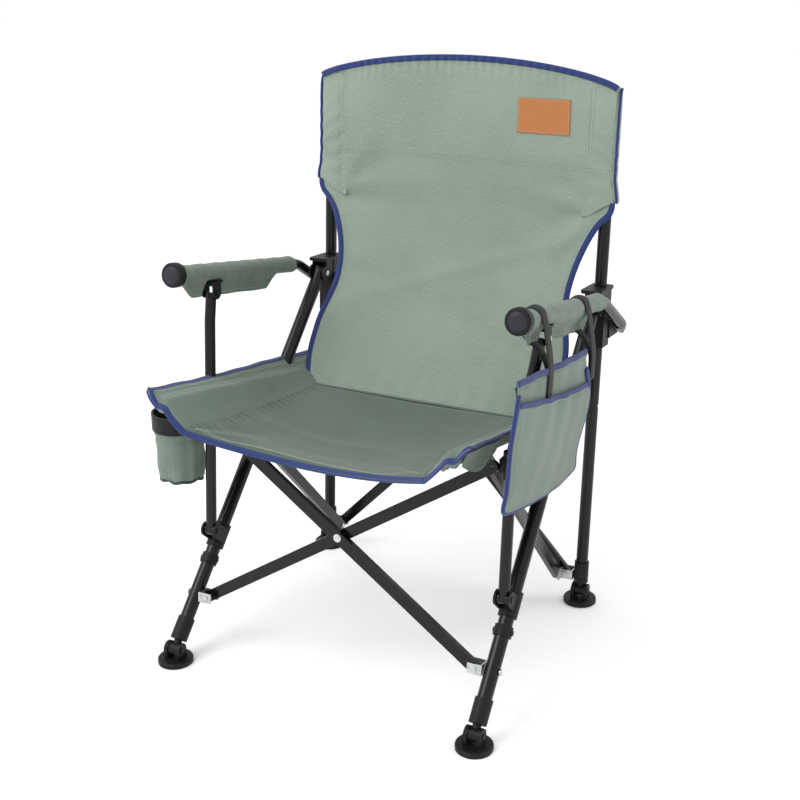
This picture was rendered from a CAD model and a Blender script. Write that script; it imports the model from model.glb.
"""Looks of the folding camp chair: sewn cloth, bindings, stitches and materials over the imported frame."""

import math

import bpy
import numpy as np
from bpy.props import BoolProperty, FloatProperty, FloatVectorProperty, PointerProperty, StringProperty
from mathutils import Matrix, Vector


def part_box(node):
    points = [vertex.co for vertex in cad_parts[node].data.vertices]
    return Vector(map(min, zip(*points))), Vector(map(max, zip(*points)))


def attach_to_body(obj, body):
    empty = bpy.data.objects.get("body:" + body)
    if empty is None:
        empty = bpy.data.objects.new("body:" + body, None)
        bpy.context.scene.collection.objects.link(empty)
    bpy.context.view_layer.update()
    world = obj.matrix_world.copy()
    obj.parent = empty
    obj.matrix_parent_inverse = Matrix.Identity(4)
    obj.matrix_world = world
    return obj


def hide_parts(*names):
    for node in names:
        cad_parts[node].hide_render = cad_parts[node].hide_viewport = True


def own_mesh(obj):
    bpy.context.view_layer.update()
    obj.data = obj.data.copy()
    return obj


bl_info = {
    "name": "Folding camp chair",
    "version": (1, 0, 0),
    "blender": (4, 5, 0),
    "location": "View3D > Sidebar > Camp chair",
    "description": "Cloth, trim and finishes of a folding camp chair on its packed frame",
    "category": "Object",
}

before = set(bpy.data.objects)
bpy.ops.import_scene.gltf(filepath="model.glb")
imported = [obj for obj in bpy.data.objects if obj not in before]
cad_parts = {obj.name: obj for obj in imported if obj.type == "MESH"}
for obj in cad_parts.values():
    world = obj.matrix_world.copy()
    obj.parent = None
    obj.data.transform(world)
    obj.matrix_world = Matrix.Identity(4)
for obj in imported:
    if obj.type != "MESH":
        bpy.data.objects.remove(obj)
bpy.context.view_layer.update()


# ---------------------------------------------------------------- places on the frame
def axis_of(node, rises):
    """Low and high end of a straight round tube in a plane of constant x; rises is +1 if it climbs towards +y.

    The tube's box is its length along the tilt and its diameter across it, so the tilt settles by repetition.
    """
    low, high = (np.array(corner, float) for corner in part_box(node))
    radius = (high[0] - low[0]) / 2
    dy, dz = (high - low)[1:]
    tilt = math.atan2(dz, dy)
    for _ in range(20):
        tilt = math.atan2(dz - 2 * radius * math.cos(tilt), dy - 2 * radius * math.sin(tilt))
    length = (dz - 2 * radius * math.cos(tilt)) / math.sin(tilt)
    way = np.array([0, rises * math.cos(tilt), math.sin(tilt)])
    middle = (low + high) / 2
    return middle - way * length / 2, middle + way * length / 2


POST_LOW, POST_HIGH = axis_of("rear_post_right", 1)
RAIL_LOW, RAIL_HIGH = axis_of("seat_rail_right", -1)
ARM_LOW, ARM_HIGH = axis_of("arm_cover_right", -1)
POST_X, RAIL_X, ARM_X = POST_LOW[0], RAIL_LOW[0], ARM_LOW[0]
UP = (POST_HIGH - POST_LOW) / np.linalg.norm(POST_HIGH - POST_LOW)
AHEAD = np.array([0, -UP[2], UP[1]])
POST_FOOT = POST_LOW * [0, 1, 1] - UP * (POST_LOW[2] / UP[2])
SIDES = (("right", 1), ("left", -1))
BACK_FOLD = ("fold", (1, 0, 0), (POST_X, 0, 0), 0.28)
SEAT_FOLD = ("fold", (1, 0, 0), (RAIL_X, 0, 0), 0.212)

# stitches: pitch, length and thickness of the thread, and how far it stands off the middle of the cloth
SEAM_STITCH = (0.0038, 0.0027, 0.0007)
FINE_STITCH = (0.0036, 0.0026, 0.0007)
PATCH_STITCH = (0.003, 0.0022, 0.0006)
THREAD_LIFT = 0.0011
CROSS_SEAM = (0.821, 0.827)  # heights of the two rows across the back, along the posts


def on_posts(x, height, ahead):
    """Points by their x, their height along the posts and their distance in front of them."""
    x, height, ahead = np.broadcast_arrays(x, height, ahead)
    out = POST_FOOT + height[..., None] * UP + ahead[..., None] * AHEAD
    out[..., 0] = x
    return out


def rail_z(y):
    """Height of the seat rails' axis at y."""
    return RAIL_LOW[2] + (y - RAIL_LOW[1]) * (RAIL_HIGH[2] - RAIL_LOW[2]) / (RAIL_HIGH[1] - RAIL_LOW[1])


def arm_z(y):
    """Height of the arm's axis at y, along its sleeve."""
    return ARM_LOW[2] + (y - ARM_LOW[1]) * (ARM_HIGH[2] - ARM_LOW[2]) / (ARM_HIGH[1] - ARM_LOW[1])


# ---------------------------------------------------------------- curves
def unit(v):
    """Vectors scaled to a length of one."""
    return v / np.maximum(np.linalg.norm(v, axis=-1, keepdims=True), 1e-9)


def smooth(t):
    """Smooth step: 0 below 0, 1 above 1, 3t^2 - 2t^3 between."""
    t = np.clip(t, 0, 1)
    return t * t * (3 - 2 * t)


def bell(t):
    """Bell curve, exp(-t^2)."""
    return np.exp(-np.square(t))


def knots(x, *pairs):
    """Smooth curve through (x, y) pairs: cubic between neighbours, with the slopes of their chords."""
    xs, ys = np.array(pairs, float).T
    slope = np.gradient(ys, xs)
    x = np.clip(x, xs[0], xs[-1])
    i = np.clip(np.searchsorted(xs, x) - 1, 0, len(xs) - 2)
    h = xs[i + 1] - xs[i]
    t = (x - xs[i]) / h
    return (ys[i] * (1 + 2 * t) * (1 - t) ** 2 + ys[i + 1] * t * t * (3 - 2 * t)
            + slope[i] * h * t * (1 - t) ** 2 - slope[i + 1] * h * t * t * (1 - t))


def distances(path):
    """Distance of each point of a path from its start, along it."""
    return np.concatenate([[0], np.cumsum(np.linalg.norm(np.diff(path, axis=0), axis=1))])


def through(points, count):
    """count points at even steps along a smooth curve through the given ones, by chord length."""
    points = np.array(points, float)
    along = distances(points)
    t = np.linspace(0, along[-1], 8 * count)
    fine = np.stack([knots(t, *zip(along, column)) for column in points.T], axis=-1)
    return even(fine, count)


def even(path, count):
    """The same path with count points at even distances."""
    along = distances(path)
    at = np.linspace(0, along[-1], count)
    return np.stack([np.interp(at, along, column) for column in path.T], axis=-1)


def mirrored(points, side):
    """Points of the right-hand half, brought to the half that side names by +1 or -1."""
    return np.asarray(points) * [side, 1, 1]


# ---------------------------------------------------------------- meshes
def mesh_object(name, points, quads, uv, skin):
    """Mesh from whole arrays: points, four-cornered faces and one UV pair, in metres, per face corner."""
    mesh = bpy.data.meshes.new(name)
    count = len(quads)
    mesh.vertices.add(len(points))
    mesh.vertices.foreach_set("co", points.astype(np.float32).ravel())
    mesh.loops.add(4 * count)
    mesh.loops.foreach_set("vertex_index", quads.astype(np.int32).ravel())
    mesh.polygons.add(count)
    mesh.polygons.foreach_set("loop_start", np.arange(0, 4 * count, 4, dtype=np.int32))
    mesh.polygons.foreach_set("use_smooth", np.ones(count, bool))
    layer = mesh.uv_layers.new(name="cloth")
    mesh.update(calc_edges=True)
    layer.data.foreach_set("uv", uv.astype(np.float32).ravel())
    mesh.materials.append(skin)
    piece = bpy.data.objects.new(name, mesh)
    bpy.context.scene.collection.objects.link(piece)
    return piece


def grid_quads(rows, columns, start=0, wrap=False):
    """Faces of a grid of points stored row by row. With wrap the last row joins the first."""
    i, j = np.meshgrid(np.arange(rows if wrap else rows - 1), np.arange(columns - 1), indexing="ij")
    i, j = i.ravel(), j.ravel()
    return start + np.stack([i * columns + j, (i + 1) % rows * columns + j,
                             (i + 1) % rows * columns + j + 1, i * columns + j + 1], axis=-1)


def shell(name, surface, rows, columns, thickness, skin, wrap=False):
    """Thin closed solid over surface(u, v), which is moved half the thickness along its normal each way.

    surface takes arrays of u and v from 0 to 1 and gives points. With wrap it closes in u.
    """
    u = np.linspace(0, 1, rows, endpoint=not wrap)
    u, v = np.meshgrid(u, np.linspace(0, 1, columns), indexing="ij")
    p = surface(u, v)
    if wrap:
        du = np.roll(p, -1, axis=0) - np.roll(p, 1, axis=0)
    else:
        du = np.gradient(p, axis=0)
    normal = unit(np.cross(du, np.gradient(p, axis=1)))
    outer, inner = p + normal * thickness / 2, p - normal * thickness / 2
    total = rows * columns
    front = grid_quads(rows, columns, 0, wrap)
    faces = [front, front[:, ::-1] + total]
    edge = np.arange(rows if wrap else rows - 1)
    after = (edge + 1) % rows
    faces.append(np.stack([edge * columns, edge * columns + total,
                           after * columns + total, after * columns], axis=-1))
    last = columns - 1
    faces.append(np.stack([edge * columns + last, after * columns + last,
                           after * columns + last + total, edge * columns + last + total], axis=-1))
    if not wrap:
        j = np.arange(columns - 1)
        faces.append(np.stack([j, j + 1, j + 1 + total, j + total], axis=-1))
        k = (rows - 1) * columns + j
        faces.append(np.stack([k, k + total, k + 1 + total, k + 1], axis=-1))
    quads = np.concatenate(faces)
    closed = np.concatenate([p, p[:1]]) if wrap else p
    across = np.concatenate([[0], np.cumsum(np.linalg.norm(np.diff(closed, axis=0), axis=2).mean(axis=1))])
    along = np.concatenate([[0], np.cumsum(np.linalg.norm(np.diff(p, axis=1), axis=2).mean(axis=0))])
    row, column = (quads % total) // columns, (quads % total) % columns
    if wrap:
        row = np.where((row == 0) & (row.max(axis=1, keepdims=True) == rows - 1), rows, row)
    uv = np.stack([across[row], along[column]], axis=-1)
    piece = mesh_object(name, np.concatenate([outer.reshape(-1, 3), inner.reshape(-1, 3)]), quads, uv, skin)
    a = p.reshape(-1, 3)[front]
    piece["area"] = float(np.linalg.norm(np.cross(a[:, 2] - a[:, 0], a[:, 3] - a[:, 1]), axis=1).sum() / 2)
    return piece


def band(name, runs, width, thickness, skin):
    """Tape along one or more paths: a rounded flat section, eight points round, carried along each path.

    Each run is (points, across), where across points over the tape's width at each point.
    """
    flat = np.array([-1, -0.78, 0.78, 1, 1, 0.78, -0.78, -1]) * width / 2
    high = np.array([0.4, 1, 1, 0.4, -0.4, -1, -1, -0.4]) * thickness / 2
    spots, quads, uvs, start = [], [], [], 0
    reach = np.concatenate([[0], np.cumsum(np.hypot(np.diff(flat), np.diff(high)))])
    reach = np.append(reach, reach[-1] + thickness * 0.4)
    for path, across in runs:
        path = np.asarray(path, float)
        tangent = unit(np.gradient(path, axis=0))
        across = np.broadcast_to(across, path.shape)
        across = unit(across - tangent * (across * tangent).sum(axis=1, keepdims=True))
        normal = np.cross(tangent, across)
        ring = path[None] + flat[:, None, None] * across + high[:, None, None] * normal
        count = len(path)
        body = grid_quads(8, count, start, True)[:, ::-1]
        ends = []
        for column in (0, count - 1):
            cap = np.array([[k, k + 1, 6 - k, 7 - k] for k in range(3)]) * count + column + start
            ends.append(cap if column == 0 else cap[:, ::-1])
        faces = np.concatenate([body] + ends)
        along = distances(path)
        row, column = (faces - start) // count, (faces - start) % count
        row = np.where((row == 0) & (row.max(axis=1, keepdims=True) == 7), 8, row)
        spots.append(ring.reshape(-1, 3))
        quads.append(faces)
        uvs.append(np.stack([reach[row], along[column]], axis=-1))
        start += 8 * count
    return mesh_object(name, np.concatenate(spots), np.concatenate(quads), np.concatenate(uvs), skin)


def stitches(name, runs, pitch, length, size, skin):
    """Rows of thread: at every pitch along each path a short bent bar of four sides, highest in its middle.

    Each run is (points, outward), where outward is the cloth's normal at each point.
    """
    spots, quads, start = [], [], 0
    for path, outward in runs:
        path = np.asarray(path, float)
        outward = np.broadcast_to(outward, path.shape)
        along = distances(path)
        at = np.arange(pitch / 2, along[-1], pitch)
        middle = np.stack([np.interp(at, along, c) for c in path.T], axis=-1)
        up = unit(np.stack([np.interp(at, along, c) for c in outward.T], axis=-1))
        way = unit(np.stack([np.interp(at, along, c) for c in np.gradient(path, axis=0).T], axis=-1))
        side = unit(np.cross(way, up))
        rings = []
        for shift, lift, girth in ((-0.5, 0.0, 0.5), (0, 0.5, 1.0), (0.5, 0.0, 0.5)):
            centre = middle + way * (shift * length) + up * (lift * size)
            for a, b in ((1, 1), (-1, 1), (-1, -1), (1, -1)):
                rings.append(centre + (side * a + up * b) * (girth * size / 2))
        ring = np.stack(rings, axis=1)
        faces = []
        for k in (0, 4):
            faces += [[k + c, k + (c + 1) % 4, k + 4 + (c + 1) % 4, k + 4 + c] for c in range(4)]
        faces += [[3, 2, 1, 0], [8, 9, 10, 11]]
        quads.append((np.array(faces)[None] + 12 * np.arange(len(at))[:, None, None]).reshape(-1, 4) + start)
        spots.append(ring.reshape(-1, 3))
        start += 12 * len(at)
    quads = np.concatenate(quads)
    return mesh_object(name, np.concatenate(spots), quads, np.zeros((len(quads), 4, 2)), skin)


def turned(name, profile, origin, axis, skin, count=40):
    """Turned solid: (radius, height) pairs, from the axis back to the axis, swung round the axis."""
    profile = np.array(profile, float)
    axis = unit(np.array(axis, float))
    side = unit(np.cross(axis, [0.3, 0.1, 1.0]))
    third = np.cross(axis, side)
    angle = np.linspace(0, 2 * math.pi, count, endpoint=False)
    around = np.cos(angle)[:, None] * side + np.sin(angle)[:, None] * third
    ring = np.array(origin) + around[:, None] * profile[None, :, :1] + axis * profile[None, :, 1:]
    columns = len(profile)
    quads = grid_quads(count, columns, 0, True)[:, ::-1]
    along = distances(profile)
    row, column = quads // columns, quads % columns
    row = np.where((row == 0) & (row.max(axis=1, keepdims=True) == count - 1), count, row)
    uv = np.stack([row / count * 2 * math.pi * profile[:, 0].max(), along[column]], axis=-1)
    return mesh_object(name, ring.reshape(-1, 3), quads, uv, skin)


def attach(piece, body, fold=None):
    """Puts a piece in its slot and on its body, and lets it narrow with the fold."""
    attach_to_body(piece, body)
    if fold:
        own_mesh(piece)
    return piece


# ---------------------------------------------------------------- materials
def colour(code):
    """Linear colour, with alpha, of an sRGB hex code."""
    code = code.lstrip("#")
    s = np.array([int(code[i:i + 2], 16) for i in (0, 2, 4)]) / 255
    linear = np.where(s <= 0.04045, s / 12.92, ((s + 0.055) / 1.055) ** 2.4)
    return (*map(float, linear), 1.0)


def add(tree, kind, inputs=(), out=0, **settings):
    """Adds a node with its settings, its inputs given as values or as sockets to link, and gives one output."""
    made = tree.nodes.new("ShaderNode" + kind)
    for key, value in settings.items():
        setattr(made, key, value)
    for key, value in dict(inputs).items():
        if isinstance(value, bpy.types.NodeSocket):
            tree.links.new(value, made.inputs[key])
        else:
            made.inputs[key].default_value = value
    return made.outputs[out]


def new_material(name, **constants):
    """A material with one principled shader, its constants set on the shader's own sockets."""
    skin = bpy.data.materials.new(name)
    skin.use_nodes = True
    shader = skin.node_tree.nodes["Principled BSDF"]
    for key, value in constants.items():
        shader.inputs[key.replace("_", " ")].default_value = value
    return skin, skin.node_tree


def drive(skin, **sockets):
    """Links sockets to the inputs of the material's shader that they are named for."""
    shader = skin.node_tree.nodes["Principled BSDF"]
    for key, socket in sockets.items():
        skin.node_tree.links.new(socket, shader.inputs[key.replace("_", " ")])
    return skin


def woven_cloth(name, light, dark, faded, pitch, rib, sheen=0.25):
    """Plain-woven polyester with a heathered yarn. The eye gets a soft matt cloth, a fine rib and uneven
    fading. The yarns are drawn about 1 mm apart, coarser than real ones, so that they show."""
    skin, tree = new_material(name, Roughness=0.85, Sheen_Weight=sheen, Sheen_Roughness=0.5,
                              Specular_IOR_Level=0.25)
    flat = add(tree, "UVMap", uv_map="cloth")
    solid = add(tree, "TexCoord", out="Object")
    waves = []
    for axis, step in ((0, pitch), (1, pitch), (1, rib)):
        place = add(tree, "SeparateXYZ", {0: flat}, axis)
        turn = add(tree, "Math", {0: place, 1: 2 * math.pi / step}, operation="MULTIPLY")
        waves.append(add(tree, "Math", {0: turn}, operation="SINE"))
    over = add(tree, "Math", {0: waves[0], 1: waves[1]}, operation="MULTIPLY")
    ribs = add(tree, "Math", {0: waves[2], 1: over}, operation="ADD")
    drawn = add(tree, "Mapping", {"Vector": flat, "Scale": (1, 0.2, 1)})
    yarn = add(tree, "TexNoise", {"Vector": drawn, "Scale": 1 / 0.0011, "Detail": 2})
    yarn = add(tree, "MapRange", {"Value": yarn, "From Min": 0.3, "From Max": 0.7})
    heather = add(tree, "Mix", {0: yarn, 6: colour(dark), 7: colour(light)}, 2, data_type="RGBA")
    broad = add(tree, "TexNoise", {"Vector": solid, "Scale": 1 / 0.11, "Detail": 3})
    broad = add(tree, "MapRange", {"Value": broad, "From Min": 0.35, "From Max": 0.7})
    worn = add(tree, "Math", {0: broad, 1: 0.35}, operation="MULTIPLY")
    dyed = add(tree, "Mix", {0: worn, 6: heather, 7: colour(faded)}, 2, data_type="RGBA")
    slack = add(tree, "TexNoise", {"Vector": solid, "Scale": 1 / 0.06, "Detail": 1})
    slack = add(tree, "Bump", {"Height": slack, "Distance": 0.0012, "Strength": 1.0})
    weave = add(tree, "Bump", {"Height": ribs, "Distance": 0.00012, "Strength": 1.0, "Normal": slack})
    return drive(skin, Base_Color=dyed, Normal=weave)


def ribbed_tape(name, light, dark, pitch, sheen=0.15):
    """Narrow woven tape with cross ribs. The eye gets a darker edge line with a fine regular texture."""
    skin, tree = new_material(name, Roughness=0.7, Sheen_Weight=sheen, Specular_IOR_Level=0.3)
    flat = add(tree, "UVMap", uv_map="cloth")
    place = add(tree, "SeparateXYZ", {0: flat}, 1)
    turn = add(tree, "Math", {0: place, 1: 2 * math.pi / pitch}, operation="MULTIPLY")
    wave = add(tree, "Math", {0: turn}, operation="SINE")
    crest = add(tree, "MapRange", {"Value": wave, "From Min": -1, "From Max": 1})
    uneven = add(tree, "TexNoise", {"Vector": flat, "Scale": 1 / 0.006, "Detail": 3})
    tone = add(tree, "Math", {0: uneven, 1: crest}, operation="MULTIPLY")
    dyed = add(tree, "Mix", {0: tone, 6: colour(dark), 7: colour(light)}, 2, data_type="RGBA")
    ribs = add(tree, "Bump", {"Height": wave, "Distance": 0.0002, "Strength": 1.0})
    return drive(skin, Base_Color=dyed, Normal=ribs)


def painted_tube(name, base, worn):
    """Powder-coated steel. The eye gets long sharp highlights, a faint orange peel and greyer rubbed patches."""
    skin, tree = new_material(name, Specular_IOR_Level=0.3)
    solid = add(tree, "TexCoord", out="Object")
    rubbed = add(tree, "TexNoise", {"Vector": solid, "Scale": 1 / 0.02, "Detail": 6})
    rubbed = add(tree, "MapRange", {"Value": rubbed, "From Min": 0.62, "From Max": 0.8})
    paint = add(tree, "Mix", {0: rubbed, 6: colour(base), 7: colour(worn)}, 2, data_type="RGBA")
    dull = add(tree, "TexNoise", {"Vector": solid, "Scale": 1 / 0.008, "Detail": 3})
    dull = add(tree, "MapRange", {"Value": dull, "To Min": 0.16, "To Max": 0.3})
    peel = add(tree, "TexNoise", {"Vector": solid, "Scale": 1 / 0.0015, "Detail": 1})
    peel = add(tree, "Bump", {"Height": peel, "Distance": 0.00004, "Strength": 1.0})
    return drive(skin, Base_Color=paint, Roughness=dull, Normal=peel)


def moulded_plastic(name, base, worn, grain=0.0008):
    """Moulded polypropylene with a fine spark-eroded grain. The eye gets a dull black, greyer where rubbed."""
    skin, tree = new_material(name, Specular_IOR_Level=0.25)
    solid = add(tree, "TexCoord", out="Object")
    rubbed = add(tree, "TexNoise", {"Vector": solid, "Scale": 1 / 0.012, "Detail": 5})
    rubbed = add(tree, "MapRange", {"Value": rubbed, "From Min": 0.55, "From Max": 0.8})
    tint = add(tree, "Mix", {0: rubbed, 6: colour(base), 7: colour(worn)}, 2, data_type="RGBA")
    dull = add(tree, "TexNoise", {"Vector": solid, "Scale": 1 / 0.01, "Detail": 3})
    dull = add(tree, "MapRange", {"Value": dull, "To Min": 0.42, "To Max": 0.6})
    spark = add(tree, "TexNoise", {"Vector": solid, "Scale": 1 / grain, "Detail": 2})
    spark = add(tree, "Bump", {"Height": spark, "Distance": 0.00006, "Strength": 1.0})
    return drive(skin, Base_Color=tint, Roughness=dull, Normal=spark)


def zinc_plate(name, base, dull):
    """Zinc-plated pressed steel. The eye gets a soft silver with brushed streaks and duller stains."""
    skin, tree = new_material(name, Metallic=1.0)
    solid = add(tree, "TexCoord", out="Object")
    brushed = add(tree, "Mapping", {"Vector": solid, "Scale": (6, 1, 1)})
    streak = add(tree, "TexNoise", {"Vector": brushed, "Scale": 1 / 0.004, "Detail": 4})
    stain = add(tree, "TexNoise", {"Vector": solid, "Scale": 1 / 0.01, "Detail": 4})
    stain = add(tree, "MapRange", {"Value": stain, "From Min": 0.4, "From Max": 0.75})
    plated = add(tree, "Mix", {0: stain, 6: colour(base), 7: colour(dull)}, 2, data_type="RGBA")
    rough = add(tree, "MapRange", {"Value": streak, "To Min": 0.22, "To Max": 0.5})
    lines = add(tree, "Bump", {"Height": streak, "Distance": 0.00004, "Strength": 1.0})
    return drive(skin, Base_Color=plated, Roughness=rough, Normal=lines)


def sewing_thread(name, light, dark):
    """Twisted polyester thread. The eye gets pale dashes that shine a little."""
    skin, tree = new_material(name, Roughness=0.45, Sheen_Weight=0.2)
    solid = add(tree, "TexCoord", out="Object")
    uneven = add(tree, "TexNoise", {"Vector": solid, "Scale": 1 / 0.004, "Detail": 3})
    dyed = add(tree, "Mix", {0: uneven, 6: colour(dark), 7: colour(light)}, 2, data_type="RGBA")
    return drive(skin, Base_Color=dyed)


def studio_paper(name, shade):
    """Matt white paper. The eye gets an even pale ground with soft contact shadows."""
    skin, tree = new_material(name, Roughness=0.95, Specular_IOR_Level=0.1)
    solid = add(tree, "TexCoord", out="Object")
    uneven = add(tree, "TexNoise", {"Vector": solid, "Scale": 1 / 0.4, "Detail": 3})
    tint = add(tree, "Mix", {0: uneven, 6: colour(shade), 7: colour("#ffffff")}, 2, data_type="RGBA")
    return drive(skin, Base_Color=tint)


SKINS = {}


def make_skins(s):
    SKINS.update(
        strip=woven_cloth("sage polyester, rail sleeve weave", "#6b7a6f", "#55645a", "#738277", 0.0012, 0.0036),
        back=woven_cloth("sage polyester, heathered weave", s.back_light, s.back_dark, "#99a699", 0.0011, 0.0024),
        seat=woven_cloth("sage polyester, ribbed seat weave", s.seat_light, s.seat_dark, "#5f6f64",
                         0.0012, 0.0036),
        pocket=woven_cloth("sage polyester, light pocket weave", "#718276", "#5f6f65", "#7b8b80", 0.0009, 0.002),
        sleeve=woven_cloth("sage polyester, sleeve weave", "#69786d", "#55635a", "#728075", 0.0011, 0.0024),
        navy=ribbed_tape("navy grosgrain binding tape", s.tape_light, s.tape_dark, 0.0012),
        webbing=ribbed_tape("black polypropylene webbing", "#26272b", "#101114", 0.0018, 0.05),
        patch=ribbed_tape("orange woven patch", s.patch_light, s.patch_dark, 0.0009),
        thread=sewing_thread("pale green sewing thread", "#b9c8b4", "#8fa08f"),
        dark_thread=sewing_thread("black overlock thread", "#2a2b2e", "#121315"),
        enamel=painted_tube("black powder-coated steel tube", s.tube, "#101114"),
        plastic=moulded_plastic("black moulded polypropylene", "#0c0d0f", "#1b1c1f"),
        cap=moulded_plastic("dark grey moulded end cap", "#26272d", "#383a41", 0.0012),
        zinc=zinc_plate("zinc-plated pressed steel", "#c9cacb", "#9b9d9f"),
        paper=studio_paper("matt white studio paper", "#fcfcfc"),
    )


# ---------------------------------------------------------------- settings
def length(name, text, default, low=0.0, high=1.5):
    """A size in metres that a user may change."""
    return FloatProperty(name=name, description=text, default=default, min=low, max=high, unit="LENGTH",
                         precision=4)


def shade(name, code):
    """A colour, as an sRGB hex value, that a user may change."""
    return StringProperty(name=name, description=f"{name}, as an sRGB hex value", default=code, maxlen=7)


class ColourSettings(bpy.types.PropertyGroup):
    back_light: shade("Back, light yarn", "#8f9d90")
    back_dark: shade("Back, dark yarn", "#7a887d")
    seat_light: shade("Seat, light yarn", "#56665b")
    seat_dark: shade("Seat, dark yarn", "#435147")
    tape_light: shade("Binding, ribs", "#31468a")
    tape_dark: shade("Binding, hollows", "#1c2c62")
    patch_light: shade("Patch, ribs", "#d6925a")
    patch_dark: shade("Patch, hollows", "#b97440")
    tube: shade("Tube paint", "#060708")


class BackSettings(bpy.types.PropertyGroup):
    corner: length("Corner", "Top corners of the back, along the posts", 0.963)
    crown: length("Crown", "Rise of the top edge over its corners", 0.041)
    half: length("Half width", "Half the width at the posts", 0.288)
    sleeve_low: length("Sleeve bottom", "Height where the sleeves on the posts end", 0.755)
    seam: length("Seam", "Height of the seam with the seat, along the posts", 0.3965)
    reach: length("Reach", "How far the seam stands ahead of the posts", 0.150)
    dip: length("Hollow", "Depth of the hollow between the posts", 0.026)
    cloth: length("Cloth", "Thickness of the cloth", 0.0014)
    tape: length("Binding", "Width of the edge binding", 0.0108)
    seam_x: length("Sleeve seam", "Distance of the sleeve seams from the middle", 0.237)
    creases: FloatProperty(name="Creases", description="Strength of the creases", default=1.0, min=0.0,
                           max=3.0)


class SeatSettings(bpy.types.PropertyGroup):
    inner: length("Inner seam", "Half the width between the inner seams", 0.214)
    outer: length("Outer edge", "Half the width to the outer edge", 0.285)
    front: length("Front", "Front edge ahead of the origin", 0.558)
    rear: length("Rear", "Seam with the back ahead of the origin", 0.140)
    pull: length("Pull", "How far the front edge is drawn back in the middle", 0.036)
    sag: length("Sag", "Depth of the sling in its middle", 0.0305)
    cloth: length("Cloth", "Thickness of the cloth", 0.0016)
    tape: length("Binding", "Width of the edge binding", 0.0110)
    pucker: length("Pucker", "Pitch of the puckers between the rail seams", 0.013, 0.002)


class ArmSettings(bpy.types.PropertyGroup):
    radius: length("Sleeve", "Radius of the cloth sleeve on the arm", 0.0148)
    flap: length("Flap", "How far the sewn flap hangs under the arm", 0.027)
    flap_front: length("Flap front", "Where the flap begins, ahead of the origin", 0.418)
    flap_rear: length("Flap rear", "Where the flap ends, ahead of the origin", 0.128)
    cloth: length("Cloth", "Thickness of the cloth", 0.0014)


class PocketSettings(bpy.types.PropertyGroup):
    x: length("Place", "Distance of the pocket's middle from the middle of the chair", 0.3375)
    bulge: length("Bulge", "How far the outer pocket stands off", 0.007)
    cloth: length("Cloth", "Thickness of the cloth", 0.0012)
    tape: length("Binding", "Width of the edge binding", 0.0100)
    strap: length("Strap", "Width of the webbing loops", 0.022)


class CupSettings(bpy.types.PropertyGroup):
    depth: length("Depth", "Bag below the ring", 0.092)
    gather: FloatProperty(name="Gathers", description="Number of gathers round the bag", default=9, min=3,
                          max=60)
    cloth: length("Cloth", "Thickness of the cloth", 0.0012)


class StageSettings(bpy.types.PropertyGroup):
    place: FloatVectorProperty(name="Camera", description="Where the camera stands", subtype="TRANSLATION",
                               unit="LENGTH", default=(0.964, -2.098, 1.204))
    azimuth: FloatProperty(name="Azimuth", description="Camera round the chair, degrees", default=27.09)
    elevation: FloatProperty(name="Elevation", description="Camera above the horizon, degrees",
                             default=19.95)
    roll: FloatProperty(name="Roll", description="Camera about its own axis, degrees", default=-0.27)
    lens: FloatProperty(name="Lens", description="Focal length on a 36 mm sensor", default=57.45, min=10,
                        max=300)
    ground: length("Ground", "Size of the studio floor", 30.0, 1.0, 100.0)
    key: FloatProperty(name="Key light", description="Power of the main soft light, watts", default=70.0,
                       min=0.0)
    fill: FloatProperty(name="Surround", description="Strength of the white surround", default=1.03,
                        min=0.0)
    quick: BoolProperty(name="Coarse", description="Coarser cloth for trials", default=False)


# ---------------------------------------------------------------- back
def back_top(s, x):
    """Height of the top edge at x: the corners' height plus the crown times (1 - (x / half)^2)^0.75."""
    return s.corner + s.crown * np.clip(1 - np.square(x / s.half), 0, 1) ** 0.75


def back_width(s, height):
    """Half width of the back at a height: level over the sleeves, cut in to the waist, out to the seam."""
    return knots(height, (s.seam, 0.240), (0.45, 0.254), (0.50, 0.254), (0.59, 0.234), (0.67, 0.248),
                 (0.72, 0.270), (s.sleeve_low - 0.003, s.half + 0.004), (0.80, s.half), (s.corner, s.half))


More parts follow.
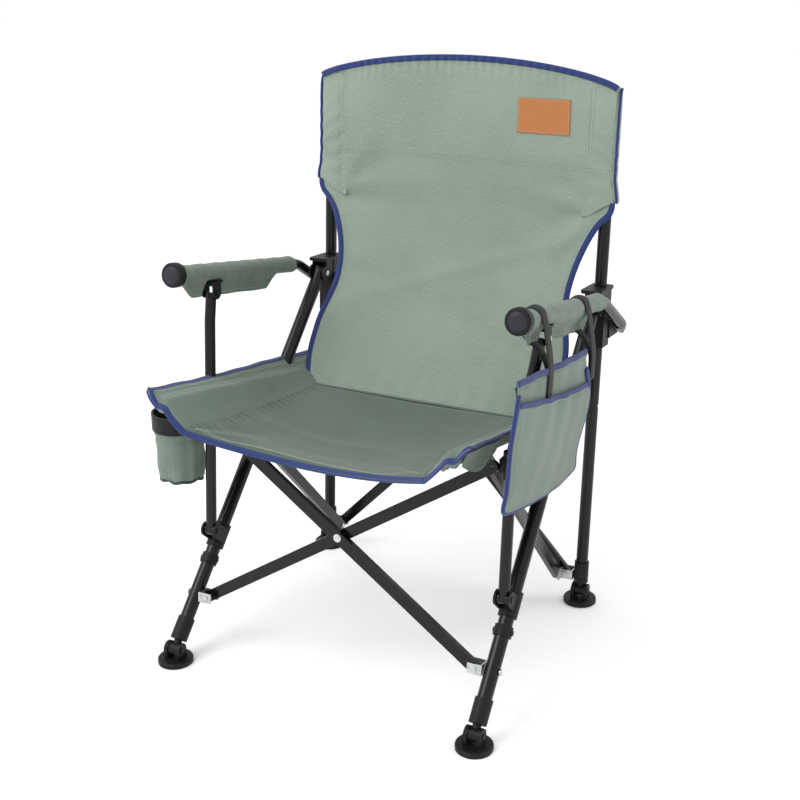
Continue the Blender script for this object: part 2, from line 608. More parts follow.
def back_point(s, u, v):
    """Back panel. u runs across, v up from the seam to the top edge. Between the posts it bows back, and
    below the sleeves it sweeps forward to the seat by a power of the drop. Creases are sines along x or
    about the sleeves' lower corners, each under a bell curve."""
    level = s.seam + (s.corner - s.seam) * v
    x = (2 * u - 1) * back_width(s, level)
    top = back_top(s, x)
    height = s.seam + (top - s.seam) * v
    free = np.clip((s.sleeve_low - 0.005 - height) / (s.sleeve_low - s.seam), 0, 1)
    held = s.seam_x + (back_width(s, level) - s.seam_x) * smooth((s.sleeve_low - level) / 0.05)
    across = np.clip(1 - np.square(x / held), 0, 1)
    ahead = 0.0122 + s.reach * free ** 1.6
    ahead = ahead - s.dip * across * np.sin(math.pi * np.clip(v * 1.05, 0, 1) ** 0.8)
    ahead = ahead - 0.004 * across * smooth((v - 0.75) / 0.2)
    below_top = top - height
    gather = 0.0011 * np.sin(2 * math.pi * (x + 0.004 * np.sin(31 * x)) / 0.0165) * bell(below_top / 0.028)
    pleat = 0.0016 * np.sin(2 * math.pi * x / 0.041 + 1.1) * bell((height - s.seam) / 0.035)
    slack = 0.0022 * np.sin(19 * x + 7 * height) * np.sin(23 * height + 5 * x + 0.7)
    drag = np.zeros_like(x)
    for side, lean in ((1, 0.9), (-1, 1.2)):
        dx, dh = s.half * side - x, height - s.sleeve_low
        angle = np.arctan2(dh, dx * side)
        drag += 0.0026 * np.sin(9 * angle + lean) * bell((np.hypot(dx, dh) - 0.07) / 0.075)
    sweep = 0.0024 * bell((height - 0.60 - 0.35 * (x + 0.05)) / 0.016)
    sweep = sweep - 0.002 * bell((height - 0.545 + 0.3 * x) / 0.014)
    inside = smooth((held - 0.004 - np.abs(x)) / 0.03)
    return on_posts(x, height, ahead + s.creases * inside * (gather + pleat + slack + drag + sweep))


def back_edge(s, u, v, lift=0.0):
    """Points of the panel at u, v (arrays or numbers), lifted off its front face."""
    u, v = np.broadcast_arrays(np.asarray(u, float), np.asarray(v, float))
    return back_point(s, u, v) + AHEAD * lift


def sleeve_point(s, side, u, v):
    """Sleeve of the back round a post. u goes round a rounded flat section, a superellipse whose inner edge
    lies on the panel, and v goes up. The section closes at the top edge."""
    angle = 2 * math.pi * u
    c, q = np.cos(angle), np.sin(angle)
    outer = s.half + 0.0045 + 0.006 * bell((v - 0.02) / 0.12)
    centre, reach = (s.seam_x + outer) / 2, (outer - s.seam_x) / 2
    x = centre + reach * np.sign(c) * np.abs(c) ** 0.8
    rear = 0.0106 - 0.0245 * smooth((x - s.seam_x) / 0.027)
    front = 0.0118 + 0.0030 * smooth((x - s.seam_x - 0.004) / 0.018)
    shut = np.clip(1 - v ** 16, 0.05, 1)
    around = (front + rear) / 2 * shut + (front - rear) / 2 * shut * np.sign(q) * np.abs(q) ** 0.55
    crease = 0.0009 * np.sin(44 * v + 5 * c) * bell((v - 0.35) / 0.4)
    crease = crease + 0.0008 * np.sin(2 * math.pi * x / 0.012) * bell((1 - v) / 0.13)
    low = s.sleeve_low + 0.012 - 0.028 * (1 - smooth((x - s.seam_x) / (outer - s.seam_x)))
    height = low + (back_top(s, x) - 0.001 - low) * v
    return on_posts(x, height, around + crease) * [side, 1, 1]


def build_sleeve(s, fine, name, side):
    """One sleeve with the binding down its inner edge and its seams; gives the names of the sewn pieces too."""
    def surface(u, v):
        return sleeve_point(s, side, u if side < 0 else 1 - u, v)

    sleeve = shell(f"back_sleeve_{name}", surface, int(64 * fine), int(110 * fine), s.cloth, SKINS["back"],
                   wrap=True)
    attach(sleeve, f"{name}_post")
    edge = sleeve_point(s, side, np.full(90, 0.06), np.linspace(0.0, 0.99, 90))
    tape = band(f"back_sleeve_binding_{name}", [(edge, [side, -0.9, 0])], s.tape, 0.0034, SKINS["navy"])
    attach(tape, f"{name}_post")
    rows = []
    for offset, ahead in ((0.004, 0.0141), (0.010, 0.0153)):
        x = np.full(60, s.seam_x + offset)
        height = s.sleeve_low + (back_top(s, x) - s.sleeve_low) * np.linspace(0.45, 0.96, 60)
        rows.append((mirrored(on_posts(x, height, ahead), side), AHEAD))
    sewn = stitches(f"back_sleeve_stitches_{name}", rows, *FINE_STITCH, SKINS["thread"])
    attach(sewn, f"{name}_post")
    level = np.linspace(s.half - 0.002, s.seam_x, 40)
    rows = [(on_posts(level * side, height, 0.0156), AHEAD) for height in CROSS_SEAM]
    across = stitches(f"back_sleeve_cross_stitches_{name}", rows, *FINE_STITCH, SKINS["thread"])
    attach(across, f"{name}_post")
    return sleeve, [tape.name, sewn.name, across.name]


def back_seams(s):
    """Rows of stitches on the panel: under the top edge, down both sides, across it and over the seat's seam."""
    rows = []
    across = np.linspace(0, 1, 170)[6:-6]
    for drop in (0.0062, 0.0112):
        rows.append((back_edge(s, across, 1 - drop / (s.corner + s.crown - s.seam), THREAD_LIFT), AHEAD))
    for drop in (0.009, 0.016):
        for edge in (drop / (2 * s.half), 1 - drop / (2 * s.half)):
            rows.append((back_edge(s, edge, np.linspace(0.60, 0.03, 90), THREAD_LIFT), AHEAD))
    across = np.linspace(0.095, 0.905, 200)
    top = back_top(s, (2 * across - 1) * s.half)
    for height in CROSS_SEAM:
        rows.append((back_edge(s, across, (height - s.seam) / (top - s.seam), THREAD_LIFT), AHEAD))
    across = np.linspace(0.045, 0.955, 150)
    for rise in (0.012, 0.018):
        rows.append((back_edge(s, across, rise, THREAD_LIFT), AHEAD))
    return rows


def build_back(s, fine):
    panel = shell("back_panel", lambda u, v: back_point(s, u, v), int(260 * fine), int(240 * fine), s.cloth,
                  SKINS["back"])
    attach(panel, "right_post", BACK_FOLD)
    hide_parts("back_cloth")
    sleeves = [build_sleeve(s, fine, name, side) for name, side in SIDES]
    # the edge binding, over the top and down both sides to the seam
    u = np.linspace(0, 1, 170)
    near_post = smooth((np.abs(2 * u - 1) - 0.8) / 0.1)
    crown = back_edge(s, u, 1) + UP * -0.0025 + AHEAD * (0.001 + 0.002 * near_post)[:, None]
    runs = [(crown, UP)]
    for edge, side in ((1, 1), (0, -1)):
        path = back_edge(s, edge, np.linspace(0.655, 0.0, 110)) - np.array([side * 0.0025, 0, 0])
        runs.append((path, [1, 0, 0]))
    binding = band("back_binding", runs, s.tape, 0.0032, SKINS["navy"])
    attach(binding, "right_post", BACK_FOLD)
    sewn = stitches("back_stitches", back_seams(s), *SEAM_STITCH, SKINS["thread"])
    attach(sewn, "right_post", BACK_FOLD)


def build_patch(s):
    """Plain woven patch sewn on the back's front face, near its right top corner."""
    def spot(u, v):
        """Patch: u across and v up, laid on the panel at the same x and height."""
        x = 0.106 + 0.100 * u
        height = 0.877 + 0.061 * v
        level = (height - s.seam) / (back_top(s, x) - s.seam)
        half = back_width(s, s.seam + (s.corner - s.seam) * level)
        return back_edge(s, (x / half + 1) / 2, level, 0.0016)

    patch = shell("back_patch", spot, 60, 40, 0.0012, SKINS["patch"])
    attach(patch, "right_post", BACK_FOLD)
    t = np.linspace(0.03, 0.97, 40)
    low, high = np.full(40, 0.045), np.full(40, 0.955)
    sides = ((t, low), (t, high), (low * 0.6, t), (1 - low * 0.6, t))
    rows = [(spot(u, v) + AHEAD * 0.0006, AHEAD) for u, v in sides]
    sewn = stitches("back_patch_stitches", rows, *PATCH_STITCH, SKINS["thread"])
    attach(sewn, "right_post", BACK_FOLD)


# ---------------------------------------------------------------- seat
def rail_drop(s, y):
    """How far the inner seams hang under the rails' axis: least at the rear, growing as a quarter sine."""
    t = np.clip((-s.rear - y) / (s.front - s.rear), 0, 1)
    return 0.0125 + 0.022 * np.sin(math.pi / 2 * np.clip(t * 1.3, 0, 1))


def seat_point(s, u, v):
    """Sling of the seat between its inner seams: v from the rear seam to the front, with a dip that is
    deepest in the middle and a front edge drawn back. Creases run from the front corners and across it."""
    a = 2 * u - 1
    x = s.inner * a
    across = 1 - a * a
    y = -s.rear + (s.rear - s.front + s.pull * across) * v
    deep = 0.027 * v + s.sag * np.sin(math.pi * v)
    z = rail_z(y) - rail_drop(s, y) - deep * across - 0.010 * smooth((v - 0.972) / 0.028)
    ripple = 0.0016 * np.sin(2 * math.pi * y / 0.016 + 2 * a) * bell((1 - np.abs(a)) / 0.09)
    folds = 0.003 * bell((y + 0.33 + 0.25 * np.abs(x)) / 0.018)
    folds = folds - 0.0026 * bell((y + 0.40 + 0.3 * np.abs(x)) / 0.02)
    for side in (1, -1):
        angle = np.arctan2(y + s.front, (s.inner - x * side))
        far = np.hypot(y + s.front, s.inner - x * side)
        folds += 0.0034 * np.sin(10 * angle + 0.8 * side) * bell((far - 0.09) / 0.06)
    slack = 0.002 * np.sin(17 * x + 3) * np.sin(21 * y + 9 * x)
    hem = smooth(v / 0.06) * smooth((1 - v) / 0.03)
    return np.stack([x, y, z + hem * (ripple + folds + slack)], axis=-1)


def strip_point(s, side, u, v):
    """Side of the seat over a rail. u goes round a flat superellipse that swells round the rail, v from rear
    to front. Its top climbs from the inner seam to the rail and falls or rises to the outer edge."""
    angle = 2 * math.pi * u
    c, q = np.cos(angle), np.sin(angle)
    x = (s.inner + s.outer) / 2 + (s.outer - s.inner) / 2 * np.sign(c) * np.abs(c) ** 0.85
    rear = -s.rear + 0.10 * smooth((x - s.inner) / (s.outer - s.inner))
    front = -s.front - 0.002 * smooth((x - s.inner) / 0.02) + 0.006 * smooth((x - 0.272) / 0.013)
    y = rear + (front - rear) * v
    over = 0.0106
    climb = knots(x, (s.inner, 0), (0.224, 0.24), (0.234, 0.52), (0.2445, 0.84), (0.2480, 0.95), (RAIL_X, 1))
    drop = rail_drop(s, y)
    rise = knots(y, (-0.558, 0.020), (-0.541, 0.020), (-0.521, 0.020), (-0.467, 0.020), (-0.381, 0.021),
                 (-0.288, 0.024), (-0.189, 0.029), (-0.04, 0.032))
    past = smooth((x - 0.259) / 0.026)
    top = np.where(x < RAIL_X, climb * (over + drop) - drop, over + (rise - over) * past)
    swell = smooth((x - 0.236) / 0.008) * smooth((0.276 - x) / 0.012) * smooth((1 - v) / 0.02)
    half = 0.0009 + 0.0100 * swell
    pucker = (0.0007 * np.sin(2 * math.pi * y / s.pucker + 1.5 * np.sin(23 * y))
              * smooth((x - s.inner) / 0.012) * smooth((0.2665 - x) / 0.008) * smooth((x - 0.222) / 0.01))
    wave = 0.0006 * np.sin(2 * math.pi * y / 0.085 + side) * smooth((x - 0.262) / 0.02)
    dive = smooth((0.287 - x) / 0.026) * smooth((v - 0.972) / 0.028)
    nose = -(0.010 + 0.006 * smooth((x - s.inner) / 0.03)) * dive
    z = rail_z(y) + top - half + half * np.sign(q) * np.abs(q) ** 0.6 + pucker + wave + nose
    return np.stack([x * side, y, z], axis=-1)


def build_seat_side(s, fine, name, side):
    """The cloth over one rail, bound along its outer edge and round its front end, with four rows of stitches."""
    def surface(u, v):
        return strip_point(s, side, u if side > 0 else 1 - u, v)

    strip = shell(f"seat_side_{name}", surface, int(96 * fine), int(260 * fine), s.cloth, SKINS["strip"],
                  wrap=True)
    attach(strip, f"{name}_rail")
    outer = strip_point(s, side, np.zeros(130), np.linspace(0.004, 0.985, 130)) - [side * 0.0018, 0, 0]
    turn = strip_point(s, side, np.linspace(0.0, 0.5, 40), np.full(40, 0.994))
    tape = band(f"seat_side_binding_{name}", [(outer, [1, 0, 0.25 * side]), (turn, [0, -0.7, -0.7])], s.tape,
                0.0034, SKINS["navy"])
    attach(tape, f"{name}_rail")
    rows = []
    for at in (0.305, 0.29, 0.39, 0.407):
        path = strip_point(s, side, np.full(160, at / 2), np.linspace(0.03, 0.95, 160))
        rows.append((path + [0, 0, 0.0012], [0, 0, 1]))
    sewn = stitches(f"seat_side_stitches_{name}", rows, *SEAM_STITCH, SKINS["thread"])
    attach(sewn, f"{name}_rail")


def build_seat(s, fine):
    sling = shell("seat_panel", lambda u, v: seat_point(s, u, v), int(240 * fine), int(220 * fine), s.cloth,
                  SKINS["seat"])
    attach(sling, "right_rail", SEAT_FOLD)
    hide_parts("seat_cloth")
    u = np.linspace(0, 1, 120)
    edge = seat_point(s, u, np.full(120, 0.992))
    front = band("seat_front_binding", [(edge, [0, -0.7, -0.7])], s.tape, 0.0034, SKINS["navy"])
    attach(front, "right_rail", SEAT_FOLD)
    seam = seat_point(s, u, np.full(120, 0.012))
    rear = band("seat_rear_tape", [(seam, [0, -0.8, 0.3])], 0.012, 0.0026, SKINS["seat"])
    attach(rear, "right_rail", SEAT_FOLD)
    rows = [(seat_point(s, u[3:-3], np.full(114, v)) + [0, 0, 0.0012], [0, 0, 1])
            for v in (0.035, 0.968, 0.955)]
    sewn = stitches("seat_stitches", rows, *SEAM_STITCH, SKINS["thread"])
    attach(sewn, "right_rail", SEAT_FOLD)
    for name, side in SIDES:
        build_seat_side(s, fine, name, side)


# ---------------------------------------------------------------- arms
def arm_point(s, side, fork_y, u, v):
    """Cloth sleeve on an arm. u goes round it from underneath, v from its rear end to the front. The
    underside is drawn down into a flat sewn flap between two places, open at the fork that holds the arm."""
    y = ARM_LOW[1] + (ARM_HIGH[1] - ARM_LOW[1]) * v
    angle = 2 * math.pi * u
    window = smooth((s.flap_front + y) / 0.03) * smooth((-y - s.flap_rear) / 0.03)
    window = window * smooth((np.abs(y - fork_y) - 0.017) / 0.01)
    near = np.clip((np.cos(angle) - 0.35) / 0.65, 0, 1)
    slack = (0.0002 * np.sin(2 * math.pi * y / 0.021 + 3 * np.sin(angle))
             + 0.0004 * np.sin(2 * math.pi * y / 0.047 + 2 * angle))
    radius = s.radius + slack * (1 - near)
    x = radius * np.sin(angle) * (1 - 0.86 * window * smooth(near * 1.6))
    z = -radius * np.cos(angle) - s.flap * window * near ** 0.8
    x = x + 0.002 * window * near * np.sin(2 * math.pi * y / 0.09)
    return np.stack([(ARM_X + x) * side, y, arm_z(y) + z], axis=-1)


def build_arms(s, fine):
    for name, side in SIDES:
        low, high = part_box(f"arm_fork_{name}")
        fork_y = (low[1] + high[1]) / 2

        def surface(u, v, side=side, fork_y=fork_y):
            return arm_point(s, side, fork_y, u if side > 0 else 1 - u, v)

        sleeve = shell(f"arm_sleeve_{name}", surface, int(96 * fine), int(230 * fine), s.cloth,
                       SKINS["sleeve"], wrap=True)
        attach(sleeve, f"{name}_arm")
        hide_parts(f"arm_cover_{name}")
        rows = []
        for start, stop in ((-s.flap_front + 0.02, fork_y - 0.03), (fork_y + 0.03, -s.flap_rear - 0.02)):
            v = (np.linspace(start, stop, 60) - ARM_LOW[1]) / (ARM_HIGH[1] - ARM_LOW[1])
            for at, turn in ((0.075, 1), (0.925, -1)):
                path = arm_point(s, 1, fork_y, np.full(60, at), v) + [turn * 0.0012, 0, 0]
                rows.append((mirrored(path, side), [turn * side, 0, 0]))
        around = np.linspace(0, 1, 50)
        for at in (0.018, 0.982):
            path = arm_point(s, 1, fork_y, around, np.full(50, at))
            middle = np.stack([np.full(50, ARM_X), path[:, 1], arm_z(path[:, 1])], axis=-1)
            out = unit(path - middle)
            rows.append((mirrored(path + out * 0.0010, side), mirrored(out, side)))
        sewn = stitches(f"arm_sleeve_stitches_{name}", rows, *SEAM_STITCH, SKINS["thread"])
        attach(sewn, f"{name}_arm")


# ---------------------------------------------------------------- side pocket
def pocket_side(t, front, outer):
    """Front or rear edge of the pocket as (y, z), t from its bottom to the mouth."""
    if front:
        high = 0.575 if outer else 0.607
        return (knots(t, (0, -0.514), (0.07, -0.549), (0.18, -0.540), (0.55, -0.524), (1, -0.503)),
                knots(t, (0, 0.417), (0.07, 0.428), (0.18, 0.452), (0.55, 0.52), (1, high)))
    high = 0.515 if outer else 0.571
    return (knots(t, (0, -0.246), (0.12, -0.243), (0.35, -0.212), (0.7, -0.192), (1, -0.208)),
            knots(t, (0, 0.384), (0.12, 0.408), (0.35, 0.452), (0.7, 0.497), (1, high)))


def pocket_point(s, outer, u, v):
    """A layer of the pocket: u from its rear edge to the front one, v up. The bottom bows down, the mouth
    dips and the outer layer stands off in the middle by a power of a sine, with soft vertical folds."""
    ya, za = pocket_side(v, False, outer)
    yb, zb = pocket_side(v, True, outer)
    bow = np.sin(math.pi * u)
    y = ya + (yb - ya) * u
    z = za + (zb - za) * u - 0.010 * bow * (1 - v) ** 2 - (0.006 if outer else 0.002) * bow * v ** 4
    fullness = bow ** 0.7 * np.sin(math.pi * np.clip(v * 0.8 + 0.1, 0, 1))
    fold = 0.0016 * np.sin(2 * math.pi * (u + 0.15 * v) / 0.23) * bow * (0.4 + v)
    fold = fold + 0.001 * np.sin(29 * z + 31 * y)
    off = s.bulge * fullness + 0.0018 if outer else -0.003 * fullness - 0.0018
    x = s.x + off + fold * (1 if outer else 0.7)
    return np.stack([x, y, z], axis=-1)


def arm_loop(s, y, radius=0.0178):
    """Path of a webbing loop at y: up the pocket's outside, round the arm and back down its inside."""
    height = arm_z(y)
    return [(s.x - 0.0005, y, height - 0.120), (s.x + 0.0005, y, height - 0.08),
            (ARM_X + radius + 0.006, y, height - 0.03), (ARM_X + radius, y, height),
            (ARM_X + 0.7 * radius, y, height + 0.72 * radius), (ARM_X, y, height + radius),
            (ARM_X - 0.7 * radius, y, height + 0.72 * radius), (ARM_X - radius, y, height),
            (ARM_X - 0.6 * radius, y, height - 0.030), (ARM_X + 0.010, y, height - 0.046),
            (s.x - 0.006, y, height - 0.07), (s.x - 0.004, y, height - 0.105)]


def build_pocket(s, fine):
    for name, outer in (("pocket_back_layer", False), ("pocket_front_layer", True)):
        layer = shell(name, lambda u, v, outer=outer: pocket_point(s, outer, 1 - u, v), int(130 * fine),
                      int(100 * fine), s.cloth, SKINS["pocket"])
        attach(layer, "right_arm")
    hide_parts("side_pocket")
    t, none, full = np.linspace(0, 1, 60), np.zeros(60), np.ones(60)
    rim = [(pocket_point(s, False, t, full), [0, 0, 1])]
    mouth = [(pocket_point(s, True, t, full), [0, 0, 1])]
    for u, v, across in ((none, t, [0, 1, 0]), (full, t, [0, 1, 0]), (t, none, [0, 0, 1])):
        path = (pocket_point(s, True, u, v) + pocket_point(s, False, u, v)) / 2
        rim.append((path, across))
    edge = band("pocket_binding", rim, s.tape, 0.0052, SKINS["navy"])
    attach(edge, "right_arm")
    lip = band("pocket_mouth_binding", mouth, s.tape * 0.9, 0.003, SKINS["navy"])
    attach(lip, "right_arm")
    seams = [(True, full * at, np.linspace(0.05, 0.93, 60)) for at in (0.045, 0.955)]
    seams += [(True, np.linspace(0.05, 0.95, 60), full * at) for at in (0.055, 0.93)]
    seams.append((False, np.linspace(0.03, 0.97, 60), full * 0.945))
    rows = [(pocket_point(s, outer, u, v) + [THREAD_LIFT, 0, 0], [1, 0, 0]) for outer, u, v in seams]
    sewn = stitches("pocket_stitches", rows, *FINE_STITCH, SKINS["thread"])
    attach(sewn, "right_arm")
    runs = [(through(arm_loop(s, y), 90), [0, 1, 0]) for y in (-0.375, -0.175)]
    loops = band("pocket_loops", runs, s.strap, 0.0022, SKINS["webbing"])
    attach(loops, "right_arm")
    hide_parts("pocket_straps")
    elastic = [(s.x - 0.005, -0.500, 0.600), (s.x - 0.012, -0.470, 0.56), (s.x - 0.016, -0.42, 0.50),
               (s.x - 0.012, -0.36, 0.46)]
    tie = band("pocket_elastic", [(through(elastic, 50), [1, 0, 0])], 0.004, 0.003, SKINS["webbing"])
    attach(tie, "right_arm")


# ---------------------------------------------------------------- cup holder
def build_cup(s, fine):
    low, high = (np.array(c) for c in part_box("cup_bag"))
    middle = (low + high) / 2
    rim_radius = (high[1] - low[1]) / 2
    top = high[2]

    def bag_point(u, v):
        """Gathered bag: u round, v down from the ring; folds are sines round it that deepen downwards."""
        angle = 2 * math.pi * u
        radius = rim_radius * (1 - 0.10 * v ** 2 - 0.05 * bell((v - 0.12) / 0.08))
        fold = np.sin(s.gather * angle + 2.1 * np.sin(2 * angle)) + 0.6 * np.sin(5 * angle + 7 * v)
        radius = radius + fold * (0.0005 + 0.0009 * v) + 0.0012 * np.sin(2 * angle + 9 * v)
        z = top - 0.002 - s.depth * v - 0.0015 * np.sin(s.gather * angle + 0.7) * v
        return np.stack([middle[0] + radius * np.cos(angle), middle[1] + radius * np.sin(angle), z], axis=-1)

    bag = shell("cup_bag_cloth", lambda u, v: bag_point(1 - u, v), int(220 * fine), int(80 * fine), s.cloth,
                SKINS["pocket"], wrap=True)
    attach(bag, "left_hub")
    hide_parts("cup_bag")
    path = bag_point(np.linspace(0, 1, 160), np.full(160, 0.975))
    hem = band("cup_bag_hem", [(path, [0, 0, 1])], 0.006, 0.003, SKINS["dark_thread"])
    attach(hem, "left_hub")
    base_radius, floor = rim_radius * 0.885, top - s.depth + 0.004
    profile = [(0, floor - 0.002), (base_radius * 0.6, floor - 0.002), (base_radius, floor - 0.001),
               (base_radius, floor + 0.001), (base_radius * 0.6, floor), (0, floor)]
    base = turned("cup_bag_base", profile, (middle[0], middle[1], 0), (0, 0, 1), SKINS["pocket"])
    attach(base, "left_hub")
    seam_turn = 0.80
    out = np.array([math.cos(2 * math.pi * seam_turn), math.sin(2 * math.pi * seam_turn), 0])
    seam = bag_point(np.full(60, seam_turn), np.linspace(0.05, 0.95, 60)) + out * 0.001
    sewn = stitches("cup_bag_stitches", [(seam, out)], *FINE_STITCH, SKINS["thread"])
    attach(sewn, "left_hub")


# ---------------------------------------------------------------- small hard pieces
# profiles of turned pieces, as (radius, height) pairs
HUB_CHEEK = ((0, -0.006), (0.016, -0.006), (0.0168, -0.004), (0.0168, 0.0005), (0.0155, 0.0022),
             (0.006, 0.0026), (0, 0.0026))
HUB_RIVET = ((0, 0.001), (0.0052, 0.001), (0.0056, 0.0026), (0.0046, 0.0042), (0.002, 0.0049), (0, 0.005))
FORK_RIVET = ((0, -0.002), (0.0060, -0.002), (0.0064, -0.0004), (0.005, 0.0010), (0.002, 0.0016), (0, 0.0017))
CAP_FACE = ((0, -0.002), (0.0150, -0.002), (0.0158, -0.0008), (0.0150, 0.0006), (0.008, 0.0013), (0, 0.0015))


def flap_point(side, u, v):
    """Cloth tab hanging from the seat's side near its front corner: u along it, v down. Its length is a sine
    of u, longest in the middle, and it bows inwards by a quarter sine of v."""
    y = -0.552 + 0.125 * u
    z = rail_z(y) + 0.012 - (0.014 + 0.026 * np.sin(math.pi * (0.1 + 0.85 * u))) * v
    x = 0.2805 - 0.007 * np.sin(math.pi / 2 * v) + 0.0008 * np.sin(9 * u + 4 * v)
    return np.stack([x * side, y, z], axis=-1)


def build_trim():
    for name, side in SIDES:
        way = (side, 0, 0)
        low, high = (np.array(c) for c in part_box(f"seat_hub_{name}"))
        place = (high[0] if side > 0 else low[0], (low[1] + high[1]) / 2 + 0.002, (low[2] + high[2]) / 2)
        cheek = turned(f"hub_cheek_{name}", HUB_CHEEK, place, way, SKINS["plastic"])
        attach(cheek, f"{name}_hub")
        head = turned(f"hub_rivet_{name}", HUB_RIVET, place, way, SKINS["zinc"], 24)
        attach(head, f"{name}_hub")
        low, high = (np.array(c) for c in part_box(f"arm_fork_{name}"))
        place = (high[0] if side > 0 else low[0], (low[1] + high[1]) / 2, low[2] + 0.011)
        head = turned(f"fork_rivet_{name}", FORK_RIVET, place, way, SKINS["zinc"], 24)
        attach(head, f"{name}_arm")
        front = unit(ARM_HIGH - ARM_LOW)
        place = mirrored(ARM_HIGH + front * 0.0175, side)
        face = turned(f"arm_cap_face_{name}", CAP_FACE, place, front, SKINS["cap"])
        attach(face, f"{name}_arm")
        flap = shell(f"seat_flap_{name}", lambda u, v, side=side: flap_point(side, u if side < 0 else 1 - u, v),
                     36, 24, 0.0014, SKINS["strip"])
        attach(flap, f"{name}_rail")


# ---------------------------------------------------------------- finishes of the frame
# material of each frame node, by the first row that holds a part of the node's name
FINISHES = (
    ("plastic", ("arm_cap",)),
    ("zinc", ("rivet", "bracket")),
    ("plastic", ("arm_fork", "cup_ring", "foot_pad", "foot_socket", "leg_slider", "seat_hub", "slide_block",
                 "stop_collar")),
    ("enamel", ("arm_support", "arm_tube", "front_cross", "front_leg", "rear_cross", "rear_post", "seat_rail",
                "side_brace")),
)


def finish_frame():
    """Gives every shown solid of the frame its material, keeping its shape and its slots."""
    for node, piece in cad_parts.items():
        skin = next((skin for skin, parts in FINISHES if any(part in node for part in parts)), "plastic")
        if not piece.data.materials:
            piece.data.materials.append(SKINS[skin])
        for index in range(len(piece.data.materials)):
            piece.data.materials[index] = SKINS[skin]


# ---------------------------------------------------------------- stage
def build_stage(s):
    scene = bpy.context.scene
    scene.view_settings.view_transform = "Standard"
    half = s.ground / 2
    corners = np.array([[-half, -half, -0.0006], [half, -half, -0.0006], [half, half, -0.0006],
                        [-half, half, -0.0006]])
    ground = mesh_object("studio_floor", corners, np.array([[0, 1, 2, 3]]), np.zeros((1, 4, 2)),
                         SKINS["paper"])
    world = bpy.data.worlds.new("studio surround")
    scene.world = world
    world.use_nodes = True
    surround = world.node_tree.nodes["Background"]
    surround.inputs["Color"].default_value = (1, 1, 1, 1)
    surround.inputs["Strength"].default_value = s.fill
    lights = (("key", (-1.6, -2.2, 3.0), 2.2, s.key), ("rim", (2.2, 1.2, 2.6), 1.8, s.key * 0.35))
    for name, place, size, power in lights:
        light = bpy.data.lights.new(name, "AREA")
        light.shape = "SQUARE"
        light.size = size
        light.energy = power
        lamp = bpy.data.objects.new(name, light)
        lamp.location = place
        lamp.rotation_mode = "QUATERNION"
        lamp.rotation_quaternion = (Vector((0, -0.2, 0.45)) - Vector(place)).to_track_quat("-Z", "Y")
        scene.collection.objects.link(lamp)
    camera = bpy.data.objects.new("camera", bpy.data.cameras.new("camera"))
    camera.data.lens = s.lens
    camera.data.sensor_width = 36
    az, el, roll = (math.radians(value) for value in (s.azimuth, s.elevation, s.roll))
    turn = Matrix.Rotation(az, 4, "Z") @ Matrix.Rotation(math.pi / 2 - el, 4, "X")
    turn = turn @ Matrix.Rotation(roll, 4, "Z")
    camera.matrix_world = Matrix.Translation(s.place) @ turn
    scene.collection.objects.link(camera)
    scene.camera = camera


# ---------------------------------------------------------------- operators, panel, registration
def detail(context):
    """Share of the full number of rows and columns that the cloth is built with."""
    return 0.5 if context.scene.chair_stage.quick else 1.0


class CHAIR_OT_materials(bpy.types.Operator):
    """Make the cloths, tapes, threads, paints, plastics and plated steel"""
    bl_idname = "chair.materials"
    bl_label = "Materials"

    def execute(self, context):
        make_skins(context.scene.chair_colours)
        return {"FINISHED"}


class CHAIR_OT_back(bpy.types.Operator):
    """Build the back panel, its sleeves, binding, stitches and patch"""
    bl_idname = "chair.back"
    bl_label = "Back"

    def execute(self, context):
        build_patch(context.scene.chair_back)
        build_back(context.scene.chair_back, detail(context))
        return {"FINISHED"}


class CHAIR_OT_seat(bpy.types.Operator):
    """Build the seat sling, its sides over the rails, binding and stitches"""
    bl_idname = "chair.seat"
    bl_label = "Seat"

    def execute(self, context):
        build_seat(context.scene.chair_seat, detail(context))
        return {"FINISHED"}


class CHAIR_OT_arms(bpy.types.Operator):
    """Build the cloth sleeves on both arms"""
    bl_idname = "chair.arms"
    bl_label = "Arms"

    def execute(self, context):
        build_arms(context.scene.chair_arms, detail(context))
        return {"FINISHED"}


class CHAIR_OT_pocket(bpy.types.Operator):
    """Build the side pocket and its webbing loops"""
    bl_idname = "chair.pocket"
    bl_label = "Side pocket"

    def execute(self, context):
        build_pocket(context.scene.chair_pocket, detail(context))
        return {"FINISHED"}


class CHAIR_OT_cup(bpy.types.Operator):
    """Build the gathered bag of the cup holder"""
    bl_idname = "chair.cup"
    bl_label = "Cup holder"

    def execute(self, context):
        build_cup(context.scene.chair_cup, detail(context))
        return {"FINISHED"}


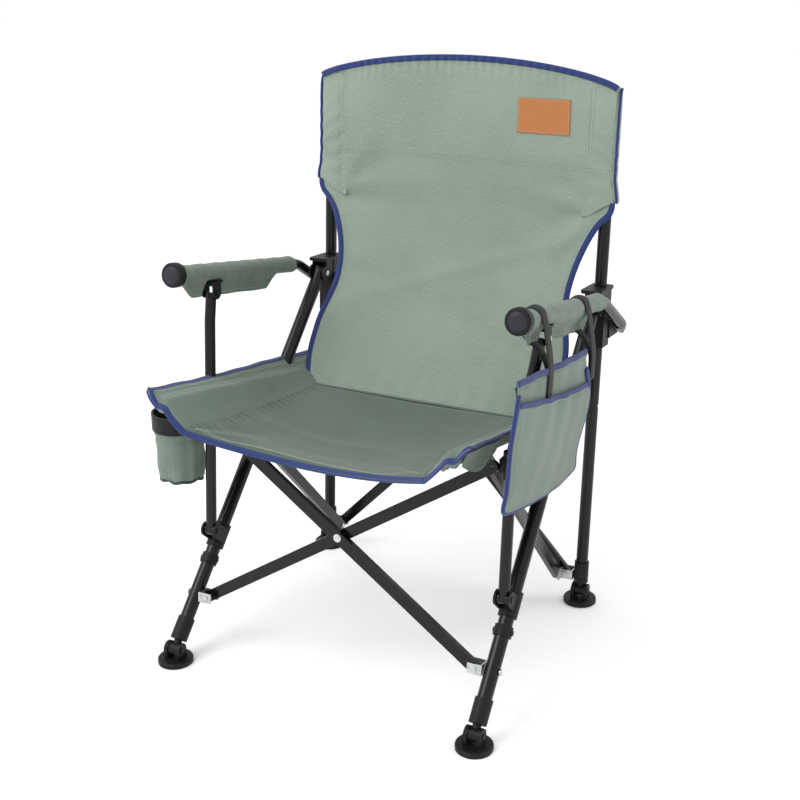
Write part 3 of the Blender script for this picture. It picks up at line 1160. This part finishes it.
class CHAIR_OT_frame(bpy.types.Operator):
    """Add the small hard trim and give the frame its finishes"""
    bl_idname = "chair.frame"
    bl_label = "Frame finishes"

    def execute(self, context):
        build_trim()
        finish_frame()
        return {"FINISHED"}


class CHAIR_OT_stage(bpy.types.Operator):
    """Build the studio floor, lights and camera"""
    bl_idname = "chair.stage"
    bl_label = "Stage"

    def execute(self, context):
        build_stage(context.scene.chair_stage)
        return {"FINISHED"}


class CHAIR_PT_panel(bpy.types.Panel):
    """Sizes and builders of the camp chair"""
    bl_idname = "CHAIR_PT_panel"
    bl_label = "Camp chair"
    bl_space_type = "VIEW_3D"
    bl_region_type = "UI"
    bl_category = "Camp chair"

    def draw(self, context):
        for holder, group, operator in PARTS:
            box = self.layout.box()
            box.operator(operator)
            if holder:
                settings = getattr(context.scene, holder)
                for name in group.__annotations__:
                    box.prop(settings, name)


PARTS = (
    ("chair_colours", ColourSettings, "chair.materials"),
    ("chair_back", BackSettings, "chair.back"),
    ("chair_seat", SeatSettings, "chair.seat"),
    ("chair_arms", ArmSettings, "chair.arms"),
    ("chair_pocket", PocketSettings, "chair.pocket"),
    ("chair_cup", CupSettings, "chair.cup"),
    ("", None, "chair.frame"),
    ("chair_stage", StageSettings, "chair.stage"),
)
CLASSES = (ColourSettings, BackSettings, SeatSettings, ArmSettings, PocketSettings, CupSettings, StageSettings,
           CHAIR_OT_materials, CHAIR_OT_back, CHAIR_OT_seat, CHAIR_OT_arms, CHAIR_OT_pocket, CHAIR_OT_cup,
           CHAIR_OT_frame, CHAIR_OT_stage, CHAIR_PT_panel)


def register():
    for item in CLASSES:
        bpy.utils.register_class(item)
    for holder, group, _ in PARTS:
        if holder:
            setattr(bpy.types.Scene, holder, PointerProperty(type=group))


def unregister():
    for holder, group, _ in PARTS:
        if holder:
            delattr(bpy.types.Scene, holder)
    for item in reversed(CLASSES):
        bpy.utils.unregister_class(item)


def main():
    register()
    for _, _, operator in PARTS:
        family, action = operator.split(".")
        getattr(getattr(bpy.ops, family), action)()


if __name__ == "__main__":
    main()
